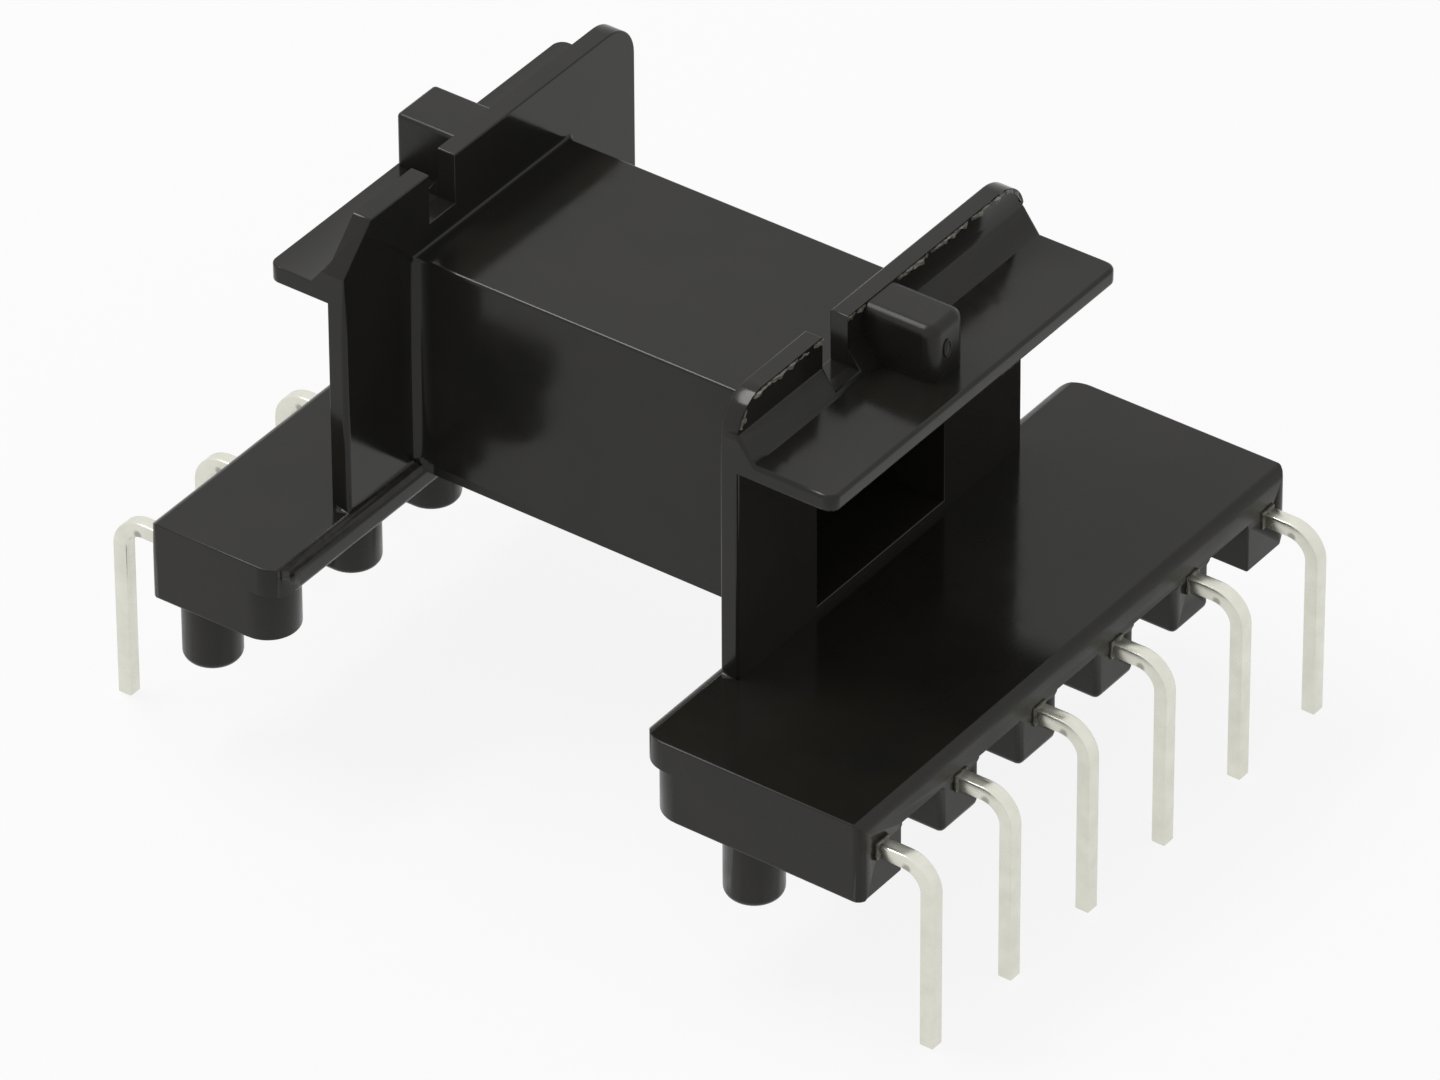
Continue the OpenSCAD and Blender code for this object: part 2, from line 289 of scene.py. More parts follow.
def pick(piece):
    """Makes a piece the only selected one."""
    deselect()
    piece.select_set(True)
    bpy.context.view_layer.objects.active = piece


def edit(piece, kind="FACE"):
    """Opens a piece in edit mode with everything selected."""
    pick(piece)
    bpy.ops.object.mode_set(mode="EDIT")
    bpy.ops.mesh.select_mode(type=kind)
    bpy.ops.mesh.select_all(action="SELECT")


def leave():
    """Closes edit mode."""
    bpy.ops.object.mode_set(mode="OBJECT")


def choose(piece, kind, test):
    """Selects the faces or edges of the piece in edit mode that pass a test."""
    bpy.ops.mesh.select_mode(type=kind)
    bpy.ops.mesh.select_all(action="DESELECT")
    mesh = bmesh.from_edit_mesh(piece.data)
    group = {"FACE": mesh.faces, "EDGE": mesh.edges}[kind]
    found = [item for item in group if test(item)]
    if not found:
        raise RuntimeError(f"nothing to select on {piece.name}")
    for item in found:
        item.select_set(True)
    mesh.select_flush_mode()
    bmesh.update_edit_mesh(piece.data)


def apply_modifier(piece, kind, **values):
    """Adds a modifier with these settings and applies it."""
    pick(piece)
    modifier = piece.modifiers.new(kind.lower(), kind)
    for key, value in values.items():
        setattr(modifier, key, value)
    bpy.ops.object.modifier_apply(modifier=modifier.name)


def added(name):
    """Names the primitive that was just added, and puts its place into its mesh."""
    piece = bpy.context.object
    piece.name = name
    piece.data.name = name
    bpy.ops.object.transform_apply(location=True, rotation=True, scale=True)
    return piece


def copied(source, name):
    """A new piece with its own copy of a piece's mesh."""
    mesh = source.data.copy()
    mesh.name = name
    piece = bpy.data.objects.new(name, mesh)
    bpy.context.scene.collection.objects.link(piece)
    return piece


def copied_to_pin(first, name, node):
    """A copy of a piece of the first pin, set at another pin and mirrored for the left rail."""
    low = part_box(node)[0]
    piece = copied(first, name)
    edit(piece)
    if low.x < 0:
        bpy.ops.transform.resize(value=(-1, 1, 1), center_override=(0, 0, 0))
        bpy.ops.mesh.normals_make_consistent(inside=False)
    bpy.ops.transform.translate(value=(0, low.y - PIN_LOW.y, 0))
    leave()
    return piece


def dress(piece, material):
    """Gives a piece its finish and its body."""
    piece.data.materials.clear()
    piece.data.materials.append(material)
    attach(piece, BODY)


def new_group(name, values, result):
    """A shader node group that takes a vector and some values, with its inner entry and exit."""
    group = bpy.data.node_groups.new(name, "ShaderNodeTree")
    sockets = group.interface
    sockets.new_socket("Vector", in_out="INPUT", socket_type="NodeSocketVector")
    for label, default in values.items():
        sockets.new_socket(label, in_out="INPUT", socket_type="NodeSocketFloat").default_value = default
    sockets.new_socket(result, in_out="OUTPUT", socket_type="NodeSocketFloat")
    entry = group.nodes.new("NodeGroupInput")
    leaving = group.nodes.new("NodeGroupOutput")
    return group, entry.outputs, leaving.inputs


def group_mottle():
    """A cloudy value between two limits, the same from every side."""
    name = "cloudy mottle"
    if name in bpy.data.node_groups:
        return bpy.data.node_groups[name]
    values = {"Scale": 1000.0, "Detail": 3.0, "Low": 0.0, "High": 1.0}
    group, entry, leaving = new_group(name, values, "Value")
    noise = group.nodes.new("ShaderNodeTexNoise")
    limits = group.nodes.new("ShaderNodeMapRange")
    limits.inputs["From Min"].default_value = NOISE_SPAN[0]
    limits.inputs["From Max"].default_value = NOISE_SPAN[1]
    group.links.new(entry["Vector"], noise.inputs["Vector"])
    group.links.new(entry["Scale"], noise.inputs["Scale"])
    group.links.new(entry["Detail"], noise.inputs["Detail"])
    group.links.new(noise.outputs["Fac"], limits.inputs["Value"])
    group.links.new(entry["Low"], limits.inputs["To Min"])
    group.links.new(entry["High"], limits.inputs["To Max"])
    group.links.new(limits.outputs["Result"], leaving["Value"])
    return group


def group_specks():
    """A mask of sparse round specks."""
    name = "sparse specks"
    if name in bpy.data.node_groups:
        return bpy.data.node_groups[name]
    values = {"Scale": 1000.0, "Size": 0.1, "Share": 0.1}
    group, entry, leaving = new_group(name, values, "Mask")
    cells = group.nodes.new("ShaderNodeTexVoronoi")
    near = group.nodes.new("ShaderNodeMath")
    near.operation = "LESS_THAN"
    split = group.nodes.new("ShaderNodeSeparateColor")
    drawn = group.nodes.new("ShaderNodeMath")
    drawn.operation = "LESS_THAN"
    both = group.nodes.new("ShaderNodeMath")
    both.operation = "MULTIPLY"
    group.links.new(entry["Vector"], cells.inputs["Vector"])
    group.links.new(entry["Scale"], cells.inputs["Scale"])
    group.links.new(cells.outputs["Distance"], near.inputs[0])
    group.links.new(entry["Size"], near.inputs[1])
    group.links.new(cells.outputs["Color"], split.inputs["Color"])
    group.links.new(split.outputs["Red"], drawn.inputs[0])
    group.links.new(entry["Share"], drawn.inputs[1])
    group.links.new(near.outputs["Value"], both.inputs[0])
    group.links.new(drawn.outputs["Value"], both.inputs[1])
    group.links.new(both.outputs["Value"], leaving["Mask"])
    return group


class Finish:
    """A material under construction, with its Principled shader."""

    def __init__(self, name):
        self.material = bpy.data.materials.new(name)
        self.material.use_nodes = True
        self.tree = self.material.node_tree
        self.tree.nodes.clear()
        self.output = self.node("ShaderNodeOutputMaterial")
        self.shader = self.node("ShaderNodeBsdfPrincipled")
        self.link(self.shader.outputs["BSDF"], self.output.inputs["Surface"])
        self.place = self.node("ShaderNodeTexCoord").outputs["Object"]

    def node(self, kind):
        """A new node in the material's tree."""
        return self.tree.nodes.new(kind)

    def link(self, source, target):
        """Joins an output to an input."""
        self.tree.links.new(source, target)

    def fill(self, target, source):
        """Joins an output to an input, or sets the input to a constant."""
        if isinstance(source, bpy.types.NodeSocket):
            self.link(source, target)
        else:
            target.default_value = source

    def worked_out(self, operation, *values):
        """The result of a sum on one or two values, each a constant or an output."""
        sum_node = self.node("ShaderNodeMath")
        sum_node.operation = operation
        for target, value in zip(sum_node.inputs, values):
            self.fill(target, value)
        return sum_node.outputs[0]

    def stretched(self, scale):
        """Object coordinates scaled along each axis."""
        mapping = self.node("ShaderNodeMapping")
        mapping.inputs["Scale"].default_value = scale
        self.link(self.place, mapping.inputs["Vector"])
        return mapping.outputs["Vector"]

    def grouped(self, group, vector, **values):
        """Places a node group and sets its values."""
        placed = self.node("ShaderNodeGroup")
        placed.node_tree = group
        self.link(vector, placed.inputs["Vector"])
        for key, value in values.items():
            placed.inputs[key].default_value = value
        return placed.outputs[0]

    def mixed(self, first, second, share):
        """A colour between two others, each a constant or an output."""
        # The node has sockets for every type, and those for colours are inputs 6 and 7 and output 2
        mix = self.node("ShaderNodeMix")
        mix.data_type = "RGBA"
        self.link(share, mix.inputs["Factor"])
        self.fill(mix.inputs[6], first)
        self.fill(mix.inputs[7], second)
        return mix.outputs[2]

    def blended(self, first, second, share):
        """A value between two others."""
        # The sockets for values are inputs 2 and 3 and output 0
        mix = self.node("ShaderNodeMix")
        self.link(share, mix.inputs["Factor"])
        self.link(first, mix.inputs[2])
        self.link(second, mix.inputs[3])
        return mix.outputs[0]

    def largest(self, first, second):
        """The larger of two values."""
        return self.worked_out("MAXIMUM", first, second)

    def smallest(self, first, second):
        """The smaller of two values."""
        return self.worked_out("MINIMUM", first, second)

    def away(self, axis, middle):
        """How far a point lies from a plane across an axis."""
        split = self.node("ShaderNodeSeparateXYZ")
        self.link(self.place, split.inputs["Vector"])
        return self.worked_out("ABSOLUTE", self.worked_out("SUBTRACT", split.outputs[axis], middle))

    def beyond(self, axis, middle, reach):
        """One where a point lies further than this from a plane across an axis, and nought elsewhere."""
        return self.worked_out("GREATER_THAN", self.away(axis, middle), reach)

    def between(self, axis, middle, reaches):
        """One where a point's distance from a plane across an axis lies between two reaches."""
        away = self.away(axis, middle)
        return self.smallest(self.worked_out("GREATER_THAN", away, reaches[0]),
                             self.worked_out("LESS_THAN", away, reaches[1]))

    def spot(self, x, z, reach):
        """One near a line along Y on either side of the part, falling to nought at its reach."""
        joined = self.node("ShaderNodeCombineXYZ")
        self.link(self.away("X", 0.0), joined.inputs["X"])
        self.link(self.away("Z", 0.0), joined.inputs["Z"])
        apart = self.node("ShaderNodeVectorMath")
        apart.operation = "DISTANCE"
        self.link(joined.outputs["Vector"], apart.inputs[0])
        apart.inputs[1].default_value = (x, 0.0, z)
        fade = self.node("ShaderNodeMapRange")
        fade.inputs["From Min"].default_value = reach
        fade.inputs["From Max"].default_value = reach / 2
        self.link(apart.outputs["Value"], fade.inputs["Value"])
        return fade.outputs["Result"]

    def bump(self, height, strength, distance, below=None):
        """A bump, laid over another one where there is one."""
        node = self.node("ShaderNodeBump")
        node.inputs["Strength"].default_value = strength
        node.inputs["Distance"].default_value = distance
        self.link(height, node.inputs["Height"])
        if below is not None:
            self.link(below, node.inputs["Normal"])
        return node.outputs["Normal"]


def plastic_finish(colours):
    """Glossy black thermoset: clouded and wavy, satin in places, with a paler highlight painted on the
    rounding of the rails' inner lips and a few specks of dust.
    """
    name = "glossy black moulding"
    if name in bpy.data.materials:
        return bpy.data.materials[name]
    finish = Finish(name)
    mottle, specks = group_mottle(), group_specks()
    cloud = finish.grouped(mottle, finish.place, Scale=420.0, Detail=4.0)
    dust = finish.grouped(specks, finish.place, Scale=520.0, Size=0.022, Share=0.12)
    # The paler lip colour is a painted highlight, laid over the dark reflection in the rounding of the
    # rails' inner lips and broken up by noise
    highlight_breakup = finish.grouped(mottle, finish.place, Scale=2600.0, Detail=4.0, Low=0.35, High=1.0)
    on_lip = finish.smallest(finish.between("X", WINDING_MIDDLE, LIP_REACH),
                             finish.between("Z", 0.0, LIP_HIGHLIGHT))
    on_lip = finish.smallest(on_lip, finish.beyond("Y", 0.0, COLLAR_SIDE))
    colour = finish.mixed(colours.plastic, colours.plastic_tint, cloud)
    colour = finish.mixed(colour, colours.painted_highlight, finish.smallest(on_lip, highlight_breakup))
    finish.link(finish.mixed(colour, colours.dust, dust), finish.shader.inputs["Base Color"])
    gloss = finish.grouped(mottle, finish.place, **ROUGH_GRAIN, Low=0.10, High=0.16)
    sheen = finish.grouped(mottle, finish.place, **ROUGH_GRAIN, Low=0.12, High=0.19)
    satin = finish.grouped(mottle, finish.place, **ROUGH_GRAIN, Low=0.24, High=0.34)
    on_shelf = finish.smallest(finish.beyond("X", WINDING_MIDDLE, SHELF_REACH),
                               finish.beyond("Z", 0.0, SHELF_GLOSS))
    on_lug = finish.smallest(on_shelf, finish.beyond("Z", 0.0, LUG_FOOT))
    on_rail = finish.largest(finish.beyond("X", 0.0, RAIL_GLOSS),
                             finish.beyond("Z", FLANGE_TOP, RAIL_DEPTH))
    rough = finish.blended(gloss, sheen, on_shelf)
    rough = finish.blended(rough, satin, finish.largest(on_lug, on_rail))
    finish.link(finish.largest(rough, dust), finish.shader.inputs["Roughness"])
    waves = finish.grouped(mottle, finish.place, Scale=260.0, Detail=1.0)
    grain = finish.grouped(mottle, finish.place, Scale=9000.0, Detail=2.0)
    normal = finish.bump(waves, strength=0.35, distance=0.01 * MM)
    normal = finish.bump(grain, strength=0.10, distance=0.002 * MM, below=normal)
    finish.link(normal, finish.shader.inputs["Normal"])
    finish.shader.inputs["IOR"].default_value = PLASTIC_IOR
    return finish.material


def plating_finish(colours):
    """Tin plating on drawn wire: clouded, with fine lines along the wire and a painted shade at the inner
    start of the bend.
    """
    name = "tin plating"
    if name in bpy.data.materials:
        return bpy.data.materials[name]
    finish = Finish(name)
    mottle = group_mottle()
    along = finish.stretched(WIRE_STRETCH)
    cloud = finish.grouped(mottle, finish.place, Scale=1500.0, Detail=4.0)
    lines = finish.grouped(mottle, along, Scale=9000.0, Detail=3.0)
    colour = finish.mixed(colours.plating_dull, colours.plating, cloud)
    # Painted shade at the inner start of the bend, where the bent wire's bulge would reflect darker
    # surroundings
    bend_shade = finish.spot(*BEND_SHADE_SPOT)
    finish.link(finish.mixed(colour, colours.painted_bend_shade, bend_shade), finish.shader.inputs["Base Color"])
    gloss = finish.grouped(mottle, along, Scale=5000.0, Detail=3.0, Low=0.22, High=0.36)
    finish.link(gloss, finish.shader.inputs["Roughness"])
    normal = finish.bump(lines, strength=0.25, distance=0.004 * MM)
    finish.link(normal, finish.shader.inputs["Normal"])
    finish.shader.inputs["Metallic"].default_value = 1.0
    return finish.material


def flash_finish(colours):
    """Torn flash: pale where it broke, brown in between."""
    name = "torn flash"
    if name in bpy.data.materials:
        return bpy.data.materials[name]
    finish = Finish(name)
    mottle = group_mottle()
    patches = finish.grouped(mottle, finish.place, Scale=5200.0, Detail=4.0)
    colour = finish.mixed(colours.flash_dark, colours.flash, patches)
    finish.link(colour, finish.shader.inputs["Base Color"])
    gloss = finish.grouped(mottle, finish.place, Scale=7000.0, Detail=3.0, Low=0.25, High=0.6)
    finish.link(gloss, finish.shader.inputs["Roughness"])
    grain = finish.grouped(mottle, finish.place, Scale=16000.0, Detail=3.0)
    normal = finish.bump(grain, strength=0.5, distance=0.01 * MM)
    finish.link(normal, finish.shader.inputs["Normal"])
    return finish.material


class FORMER_OT_moulding(bpy.types.Operator):
    """Joins a copy of the moulding's faces and rounds its outer edges"""

    bl_idname = "former.moulding"
    bl_label = "Moulding"
    # Edges past the first angle are sharp, and faces within the second are joined as flat
    sharp_angle = math.radians(35.0)
    flat_angle = math.radians(0.4)
    # Play in the tests of where an edge lies
    near = 0.004 * MM
    edge_steps = 4
    normal_weight = 60
    least_taper = 0.15

    def on(self, edge, axis, *places):
        """Whether an edge lies in one of the planes across an axis."""
        return any(all(abs(v.co[axis] - place) < self.near for v in edge.verts) for place in places)

    def on_strip(self, edge):
        """Whether an edge lies on the left flange's front upright, on the winding side and over the lip."""
        upright = self.on(edge, 0, FLANGE_INNER[1]) and self.on(edge, 1, -FLANGE_SIDE)
        return upright and min(v.co.z for v in edge.verts) > LIP_CUT - self.near

    def sharp(self, edge):
        """Whether an edge stands out and is sharp."""
        return edge.is_convex and edge.calc_face_angle(0.0) > self.sharp_angle

    def broad_radius(self, edge, sizes):
        """The radius of an edge round a rail's outer face, nought for the edges that follow later."""
        outer = self.on(edge, 0, *RAIL_OUTER)
        rim = self.on(edge, 2, RAIL_TOP) or self.on(edge, 1, RAIL_SIDE, -RAIL_SIDE)
        return sizes.rail_radius if outer and rim else 0.0

    def kept_sharp(self, edge, middle, sizes):
        """Whether an edge stays as it is: pin holes, undersides, and where a rounded edge runs out."""
        by_pin = (abs(middle.z - PIN_Z) < PIN_RIM
                  and min(abs(middle.y - row) for row in PIN_ROWS) < PIN_RIM)
        outside = abs(middle.x) > RAIL_OUTER[0] - sizes.rail_radius - self.near
        if outside and by_pin:
            return True
        if self.on(edge, 2, RAIL_BOTTOM, TUBE_BOTTOM) or BOSS_CUT < middle.z < RAIL_BOTTOM:
            return True
        if outside and abs(middle.y) > RAIL_SIDE - sizes.rail_radius - self.near:
            return not self.on(edge, 1, RAIL_SIDE, -RAIL_SIDE)
        if self.on(edge, 0, *FLANGE_OUTER) and middle.z > FLANGE_TOP - FLANGE_CORNER - self.near:
            return True
        return (self.on(edge, 0, *FLANGE_INNER) and middle.z < LIP_CUT
                and abs(abs(middle.y) - FLANGE_SIDE) < self.near)

    def low_radius(self, edge, middle, side, sizes):
        """The radius of an edge of a rail or of what hangs under it, running out towards the lip."""
        inset = abs(middle.x - RAIL_INNER[side])
        at_corner = abs(middle.y) > RAIL_SIDE - RAIL_CORNER and inset < RAIL_CORNER
        if at_corner and middle.z > RAIL_BOTTOM:
            if not self.on(edge, 2, RAIL_TOP):
                return 0.0
            taper = (inset - LIP_RADIUS) / (RAIL_CORNER - LIP_RADIUS)
            return sizes.end_radius * max(self.least_taper, taper)
        return sizes.end_radius if abs(middle.y) > END_BOSS_SIDE - self.near else sizes.boss_radius

    def other_radius(self, edge, sizes):
        """The radius of any other edge of the moulding, nought where it stays as it is."""
        middle = (edge.verts[0].co + edge.verts[1].co) / 2
        if self.kept_sharp(edge, middle, sizes):
            return 0.0
        side = 0 if middle.x > WINDING_MIDDLE else 1
        if middle.z < RAIL_TOP + self.near:
            return self.low_radius(edge, middle, side, sizes)
        if self.on(edge, 2, LUG_TOP):
            return (sizes.lug_radius, sizes.left_lug_radius)[side]
        if self.on_strip(edge) and middle.z < STRIP_TOP:
            return sizes.upright_radius
        if middle.x < FLANGE_INNER[1] + self.near:
            return sizes.fine_radius
        if self.on(edge, 2, SHELF_TOP, SHELF_BOTTOM) and abs(middle.x - WINDING_MIDDLE) > SHELF_REACH:
            return sizes.shelf_radius
        if self.on(edge, 0, *FLANGE_OUTER) and abs(middle.y) < HOLE_SIDE and middle.z < SHELF_BOTTOM:
            return sizes.fine_radius
        if middle.z > SHELF_TOP - self.near and abs(middle.y - SLOT_PLACE) < SLOT_HALF:
            return sizes.fine_radius
        return sizes.edge_radius

    def round_edges(self, piece, rule, sizes):
        """Rounds each sharp outer edge of a piece by the radius that a rule gives it."""
        edit(piece, "EDGE")
        mesh = bmesh.from_edit_mesh(piece.data)
        mesh.normal_update()
        layers = mesh.edges.layers.float
        weight = layers.get(BEVEL_WEIGHT)
        if weight is None:
            weight = layers.new(BEVEL_WEIGHT)
        radii = [rule(edge, sizes) if self.sharp(edge) else 0.0 for edge in mesh.edges]
        widest = max(radii)
        for edge, radius in zip(mesh.edges, radii):
            edge[weight] = radius / widest
        bmesh.update_edit_mesh(piece.data)
        leave()
        apply_modifier(piece, "BEVEL", width=widest, segments=self.edge_steps, limit_method="WEIGHT",
                       use_clamp_overlap=False, miter_outer="MITER_SHARP", miter_inner="MITER_SHARP")

    def execute(self, context):
        sizes = context.scene.former_sizes
        piece = copied(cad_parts[MOULDING_NODE], "moulding")
        edit(piece, "VERT")
        bpy.ops.mesh.remove_doubles(threshold=sizes.join_distance)
        bpy.ops.mesh.dissolve_limited(angle_limit=self.flat_angle)
        for height in (LIP_CUT, BOSS_CUT):
            bpy.ops.mesh.select_all(action="SELECT")
            bpy.ops.mesh.bisect(plane_co=(0, 0, height), plane_no=(0, 0, 1))
        for reach in (-TUBE_REACH, TUBE_REACH):
            bpy.ops.mesh.select_all(action="SELECT")
            bpy.ops.mesh.bisect(plane_co=(WINDING_MIDDLE + reach, 0, 0), plane_no=(1, 0, 0))
        choose(piece, "EDGE", self.on_strip)
        bpy.ops.mesh.subdivide(number_cuts=STRIP_CUTS)
        leave()
        self.round_edges(piece, self.broad_radius, sizes)
        self.round_edges(piece, self.other_radius, sizes)
        pick(piece)
        bpy.ops.object.shade_smooth_by_angle(angle=self.sharp_angle)
        apply_modifier(piece, "WEIGHTED_NORMAL", mode="FACE_AREA", weight=self.normal_weight,
                       keep_sharp=True)
        dress(piece, plastic_finish(context.scene.former_colours))
        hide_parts(MOULDING_NODE)
        return {"FINISHED"}


class FORMER_OT_pins(bpy.types.Operator):
    """Bends one square pin and sets a copy of it into each hole"""

    bl_idname = "former.pins"
    bl_label = "Pins"
    bend_steps = 12
    edge_steps = 3
    smooth_angle = math.radians(32.0)

    def bent_pin(self, sizes):
        """The first pin of the right rail, bent from a square bar."""
        middle = sizes.pin_bend + PIN_WIDTH / 2
        bend_x = PIN_HIGH.x - PIN_WIDTH / 2 - middle
        bend_z = PIN_Z - middle
        length = bend_x - PIN_LOW.x
        deselect()
        bpy.ops.mesh.primitive_cube_add(
            size=1.0, location=(PIN_LOW.x + length / 2, PIN_Y, PIN_Z), scale=(length, PIN_WIDTH, PIN_WIDTH))
        piece = added("bent_pin")
        edit(piece)
        choose(piece, "FACE", lambda face: face.normal.x > FACING)
        bpy.ops.mesh.spin(steps=self.bend_steps, angle=-math.pi / 2, axis=(0, 1, 0),
                          center=(bend_x, PIN_Y, bend_z))
        down_to_tip = {"value": (0, 0, sizes.pin_tip - bend_z)}
        bpy.ops.mesh.extrude_region_move(TRANSFORM_OT_translate=down_to_tip)
        bpy.ops.mesh.extrude_region_move(TRANSFORM_OT_translate={"value": (0, 0, -sizes.pin_tip)})
        narrow = 1 - 2 * sizes.pin_tip / PIN_WIDTH
        bpy.ops.transform.resize(value=(narrow, narrow, 1))
        bpy.ops.mesh.select_all(action="SELECT")
        bpy.ops.mesh.remove_doubles(threshold=sizes.join_distance)
        bpy.ops.mesh.normals_make_consistent(inside=False)
        choose(piece, "EDGE", lambda edge: edge.calc_face_angle(0.0) > CORNER_ANGLE)
        bpy.ops.mesh.bevel(offset=sizes.pin_edge, segments=self.edge_steps, affect="EDGES")
        leave()
        bpy.ops.object.shade_smooth_by_angle(angle=self.smooth_angle)
        return piece

    def execute(self, context):
        first = self.bent_pin(context.scene.former_sizes)
        finish = plating_finish(context.scene.former_colours)
        for node in PIN_NODES:
            piece = copied_to_pin(first, "plated_" + node, node)
            dress(piece, finish)
            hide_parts(node)
        bpy.data.objects.remove(first)
        return {"FINISHED"}


class FORMER_OT_flash(bpy.types.Operator):
    """Lays torn flash along the right flange's top edge and round the pins' exits"""

    bl_idname = "former.flash"
    bl_label = "Moulding flash"
    arc_steps = 18
    arc_angle = math.radians(72.0)
    smooth_angle = math.radians(50.0)
    step = 0.07 * MM
    # How deep flash is sunk into a face, how far it stands out, and how far under the flange's top it lies
    sunk = 0.03 * MM
    proud = 0.05 * MM
    below_top = 0.05 * MM
    # Share of a rim's width that the hole leaves, and the cuts that let the rim tear
    rim_inset = 0.97
    rim_cuts = 5
    tear_depth = 3
    tear_contrast = 1.6

    def tear(self, piece, name, grain, strength, direction="NORMAL", level=0.5):
        """Roughens a piece of flash with an uneven texture of a given grain."""
        texture = bpy.data.textures.get(name)
        if texture is None:
            texture = bpy.data.textures.new(name, "CLOUDS")
            texture.noise_scale = grain
            texture.noise_depth = self.tear_depth
            texture.contrast = self.tear_contrast
        apply_modifier(piece, "DISPLACE", texture=texture, texture_coords="LOCAL", strength=strength,
                       mid_level=level, direction=direction)
        pick(piece)
        bpy.ops.object.shade_smooth_by_angle(angle=self.smooth_angle)

    def flange_rib(self, name, start, end, sizes):
        """Flash on the flange's top edge, from the wire slot to the corner and down round it."""
        width = sizes.flash_width
        length = abs(end - start)
        outwards = 1 if end > start else -1
        place = (FLANGE_OUTER[0] + (self.proud - self.sunk) / 2, (start + end) / 2,
                 FLANGE_TOP - self.below_top - width / 2)
        deselect()
        bpy.ops.mesh.primitive_cube_add(
            size=1.0, location=place, scale=(self.sunk + self.proud, length, width))
        piece = added(name)
        edit(piece)
        choose(piece, "FACE", lambda face: face.normal.y * outwards > FACING)
        bpy.ops.mesh.spin(steps=self.arc_steps, angle=outwards * self.arc_angle, axis=(1, 0, 0),
                          center=(FLANGE_OUTER[0], end, FLANGE_TOP - FLANGE_CORNER))
        choose(piece, "EDGE", lambda edge: edge.calc_length() > length - self.step)
        bpy.ops.mesh.subdivide(number_cuts=int(length / self.step))
        bpy.ops.mesh.select_all(action="SELECT")
        bpy.ops.mesh.remove_doubles(threshold=sizes.join_distance)
        bpy.ops.mesh.normals_make_consistent(inside=False)
        leave()
        self.tear(piece, "broken flash", grain=0.4 * MM, strength=0.2 * MM, direction="X", level=0.6)
        self.tear(piece, "torn edge", grain=0.2 * MM, strength=0.07 * MM)
        return piece

    def pin_rim(self, sizes):
        """Flash round the exit of the first pin of the right rail."""
        width = PIN_WIDTH + 2 * sizes.rim_width
        place = (RAIL_OUTER[0] + (self.proud - self.sunk) / 2, PIN_Y, PIN_Z)
        deselect()
        bpy.ops.mesh.primitive_cube_add(
            size=1.0, location=place, scale=(self.sunk + self.proud, width, width))
        piece = added("pin_rim")
        edit(piece)
        choose(piece, "FACE", lambda face: abs(face.normal.x) > FACING)
        bpy.ops.mesh.inset(thickness=sizes.rim_width * self.rim_inset)
        bpy.ops.mesh.bridge_edge_loops()
        bpy.ops.mesh.select_all(action="SELECT")
        bpy.ops.mesh.subdivide(number_cuts=self.rim_cuts)
        leave()
        return piece

    def execute(self, context):
        sizes = context.scene.former_sizes
        finish = flash_finish(context.scene.former_colours)
        corner = FLANGE_SIDE - FLANGE_CORNER
        front = self.flange_rib("front_flash", SLOT_PLACE - SLOT_HALF, -corner, sizes)
        dress(front, finish)
        back = self.flange_rib("back_flash", SLOT_PLACE + SLOT_HALF, corner, sizes)
        dress(back, finish)
        first = self.pin_rim(sizes)
        for node in PIN_NODES:
            piece = copied_to_pin(first, "rim_" + node, node)
            self.tear(piece, "torn edge", grain=0.2 * MM, strength=0.05 * MM)
            dress(piece, finish)
        bpy.data.objects.remove(first)
        return {"FINISHED"}


class FORMER_OT_gate(bpy.types.Operator):
    """Leaves the broken gate on the right lug's outer end: an oval rim round a hollow"""

    bl_idname = "former.gate"
    bl_label = "Gate mark"
    steps = 32
    edge_steps = 2
    smooth_angle = math.radians(40.0)
    width = 0.36 * MM
    height = 0.6 * MM
    depth = 0.08 * MM
    proud = 0.01 * MM
    rim = 0.06 * MM

    def on_rim(self, edge):
        """Whether an edge is a corner of the rim that stands out of the lug."""
        return edge.calc_face_angle(0.0) > CORNER_ANGLE and edge.verts[0].co.x > LUG_OUTER

    def execute(self, context):
        deselect()
        bpy.ops.mesh.primitive_cylinder_add(
            vertices=self.steps, radius=1.0, depth=self.depth, rotation=(0, math.pi / 2, 0),
            location=(LUG_OUTER + self.proud, *GATE_PLACE), scale=(self.height / 2, self.width / 2, 1.0))
        piece = added("gate_mark")
        edit(piece)
        choose(piece, "FACE", lambda face: face.normal.x > FACING)
        bpy.ops.mesh.inset(thickness=self.rim)
        bpy.ops.mesh.extrude_region_move(TRANSFORM_OT_translate={"value": (-self.depth / 2, 0, 0)})
        choose(piece, "EDGE", self.on_rim)
        bpy.ops.mesh.bevel(offset=self.rim / 3, segments=self.edge_steps, affect="EDGES")
        leave()
        bpy.ops.object.shade_smooth_by_angle(angle=self.smooth_angle)
        dress(piece, plastic_finish(context.scene.former_colours))
        return {"FINISHED"}


def seen_directly(tree):
    """One for a ray from the camera, or by reflection or through glass, and nought for scattered light."""
    path = tree.nodes.new("ShaderNodeLightPath")
    first = tree.nodes.new("ShaderNodeMath")
    first.operation = "MAXIMUM"
    second = tree.nodes.new("ShaderNodeMath")
    second.operation = "MAXIMUM"
    tree.links.new(path.outputs["Is Camera Ray"], first.inputs[0])
    tree.links.new(path.outputs["Is Glossy Ray"], first.inputs[1])
    tree.links.new(first.outputs[0], second.inputs[0])
    tree.links.new(path.outputs["Is Transmission Ray"], second.inputs[1])
    return second.outputs[0]


